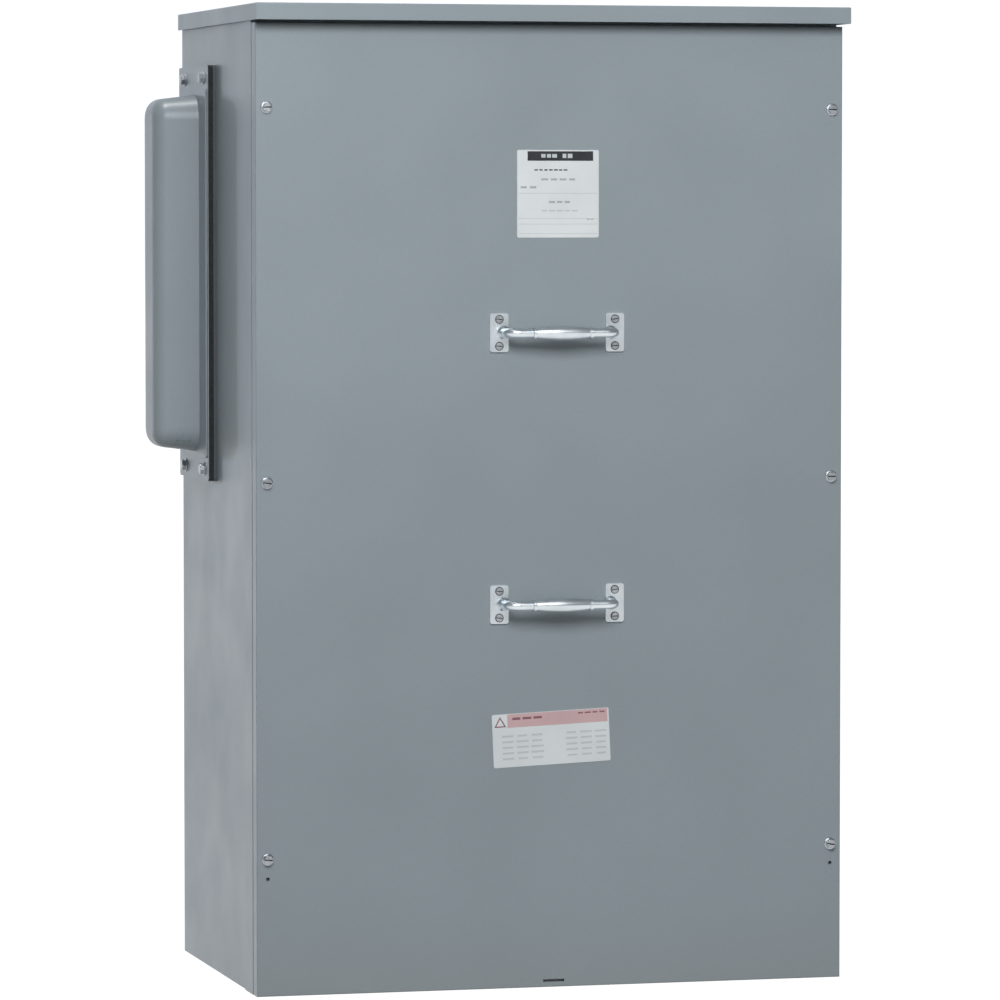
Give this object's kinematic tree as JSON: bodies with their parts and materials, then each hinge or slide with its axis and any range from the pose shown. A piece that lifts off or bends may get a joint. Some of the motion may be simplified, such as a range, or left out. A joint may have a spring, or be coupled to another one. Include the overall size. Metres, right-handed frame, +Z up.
{
  "type": "automatic transfer switch",
  "caption": "Outdoor steel case with a drip hood, screwed lift-off cover with pulls, side-operated manual handle under a guard, and a solenoid-driven three-pole transfer mechanism.",
  "frame": {"origin": "centre of the underside of the case", "axes": "+Z up, -Y out of the front cover, +X to the viewer's right"},
  "size_m": [0.8433, 0.5141, 1.25],
  "materials": {
    "grey_paint": "satin light-grey powder coat with fine orange peel",
    "zinc_fastener": "zinc plated",
    "galvanised_steel": "galvanised, faint spangle",
    "pull_metal": "polished zinc plate",
    "rubber_seal": "black closed-cell sponge",
    "neoprene_pad": "dark grey solid rubber",
    "label_film": "printed film",
    "safety_film": "printed film with a faded red band",
    "bright_steel": "machined",
    "bronze_bearing": "sintered bronze",
    "copper": "bare copper, slightly dulled",
    "phenolic": "moulded insulating compound",
    "barrier_sheet": "insulating sheet",
    "lug_aluminium": "tin-plated aluminium",
    "coil_tape": "taped winding",
    "controller_plastic": "moulded",
    "display_glass": "clear window over a dark display",
    "lamp_lens": "translucent lens",
    "button_plastic": "moulded",
    "terminal_plastic": "moulded",
    "transformer_iron": "varnished laminations",
    "harness_sleeve": "braided sleeve",
    "grip_plastic": "moulded sleeve"
  },
  "bodies": {
    "cabinet": {"side_wall_left": "grey_paint", "side_wall_right": "grey_paint", "back_panel": "grey_paint", "floor_pan": "grey_paint", "gland_plate": "galvanised_steel", "gland_plate_screws": "zinc_fastener", "top_panel": "grey_paint", "roof_hood": "grey_paint", "front_frame": "grey_paint", "mounting_panel": "galvanised_steel", "panel_standoffs": "galvanised_steel", "operator_pad": "neoprene_pad", "operator_gasket": "rubber_seal", "operator_base_plate": "grey_paint", "operator_plate_bolts": "zinc_fastener", "guard_fixed_hinge_leaf": "galvanised_steel", "guard_hinge_pin": "zinc_fastener", "shaft_bearings": "bronze_bearing", "mechanism_side_plates": "galvanised_steel", "mechanism_tie_rods": "zinc_fastener", "phase_barriers": "barrier_sheet", "insulating_base": "phenolic", "source_one_jaws": "copper", "source_two_jaws": "copper", "load_contacts": "copper", "arc_chute_walls": "phenolic", "arc_splitter_plates": "bright_steel", "conductor_lugs": "lug_aluminium", "lug_set_screws": "zinc_fastener", "solenoid_frames": "galvanised_steel", "solenoid_coils": "coil_tape", "controller_case": "controller_plastic", "controller_display": "display_glass", "controller_lamps": "lamp_lens", "terminal_block": "terminal_plastic", "control_transformer": "transformer_iron", "fuse_block": "terminal_plastic", "neutral_bar": "lug_aluminium", "ground_bar": "lug_aluminium", "control_harness": "harness_sleeve"},
    "front_cover": {"front_cover": "grey_paint", "cover_gasket": "rubber_seal", "cover_screws": "zinc_fastener", "upper_cover_handle": "pull_metal", "lower_cover_handle": "pull_metal", "cover_handle_screws": "zinc_fastener", "rating_plate": "label_film", "safety_plate": "safety_film"},
    "guard": {"handle_guard": "grey_paint", "guard_moving_hinge_leaf": "galvanised_steel"},
    "crossbar": {"crossbar_shaft": "bright_steel", "handle_arm": "bright_steel", "handle_rod": "bright_steel", "handle_grip": "grip_plastic", "blade_carriers": "phenolic", "moving_blades": "copper", "solenoid_crank": "bright_steel"},
    "plunger": {"solenoid_plunger": "bright_steel"},
    "test_button": {"test_button": "button_plastic"},
    "mode_button": {"mode_button": "button_plastic"}
  },
  "joints": [
    {"name": "cover_lift_off", "type": "slide", "parent": "cabinet", "child": "front_cover", "axis": [0, -1, 0], "range_m": [0, 0.35]},
    {"name": "guard_swing", "type": "hinge", "parent": "cabinet", "child": "guard", "pos_m": [-0.4008, 0.186, 0.9085], "axis": [0, 0, -1], "range_deg": [0, 110]},
    {"name": "transfer_shaft", "type": "hinge", "parent": "cabinet", "child": "crossbar", "pos_m": [0, -0.05, 0.909], "axis": [1, 0, 0], "range_deg": [-40, 40]},
    {"name": "plunger_slide", "type": "slide", "parent": "cabinet", "child": "plunger", "axis": [0, 0, 1], "range_m": [-0.0195, 0.0195]},
    {"name": "test_button_press", "type": "slide", "parent": "cabinet", "child": "test_button", "axis": [0, 1, 0], "range_m": [0, 0.003], "stiffness_N_per_m": 400},
    {"name": "mode_button_press", "type": "slide", "parent": "cabinet", "child": "mode_button", "axis": [0, 1, 0], "range_m": [0, 0.003], "stiffness_N_per_m": 400}
  ],
  "couplings": [
    {"joint": "plunger_slide", "follows": "transfer_shaft", "m_per_rad": -0.02763}
  ]
}
